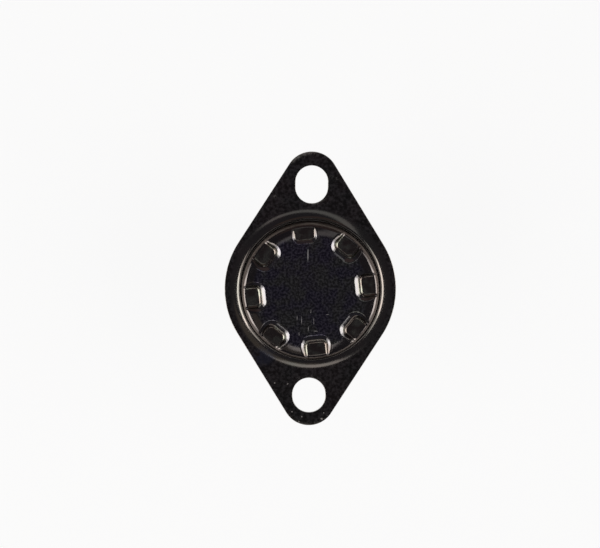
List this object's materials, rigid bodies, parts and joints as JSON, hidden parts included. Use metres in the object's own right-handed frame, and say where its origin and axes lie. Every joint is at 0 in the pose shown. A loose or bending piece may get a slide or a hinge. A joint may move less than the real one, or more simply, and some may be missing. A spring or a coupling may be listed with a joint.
{
  "type": "disc thermostat",
  "caption": "Snap-disc thermostat for a dryer: dimpled metal cap in a diamond screw flange, phenolic body and push-on blades behind.",
  "frame": {"origin": "middle of the sensing face, on the cap's outer surface", "axes": "+Z out of the sensing face, +Y along the flange towards the oblong screw hole, +X across the flange"},
  "size_m": [0.0226, 0.0364, 0.02],
  "materials": {
    "flange_steel": "dark bright nickel on pressed steel",
    "cap_metal": "dark bright nickel on drawn metal",
    "bimetal": "rolled",
    "guide_phenolic": "moulded",
    "pin_ceramic": "fired ceramic",
    "body_phenolic": "moulded, semi-matt",
    "spring_copper": "rolled spring strip",
    "contact_silver": "silver alloy",
    "strip_brass": "rolled",
    "rivet_brass": "headed",
    "terminal_tin": "tinned brass"
  },
  "bodies": {
    "housing": {"mounting_flange": "flange_steel", "sensing_cap": "cap_metal", "bimetal_disc": "bimetal", "pin_guide": "guide_phenolic", "base_body": "body_phenolic", "fixed_strip": "strip_brass", "fixed_contact": "contact_silver", "rivet_left": "rivet_brass", "rivet_right": "rivet_brass", "terminal_left": "terminal_tin", "terminal_right": "terminal_tin"},
    "arm": {"spring_arm": "spring_copper", "moving_contact": "contact_silver"},
    "pin": {"transfer_pin": "pin_ceramic"}
  },
  "joints": [
    {"name": "pin_travel", "type": "slide", "parent": "housing", "child": "pin", "axis": [0, 0, -1], "range_m": [0, 0.0003]},
    {"name": "arm_bend", "type": "hinge", "parent": "housing", "child": "arm", "pos_m": [-0.0041, 0, -0.00745], "axis": [0, 1, 0], "range_deg": [0, 4.2], "stiffness_Nm_per_rad": 0.05}
  ],
  "couplings": [
    {"joint": "arm_bend", "follows": "pin_travel", "rad_per_m": 243.9}
  ]
}
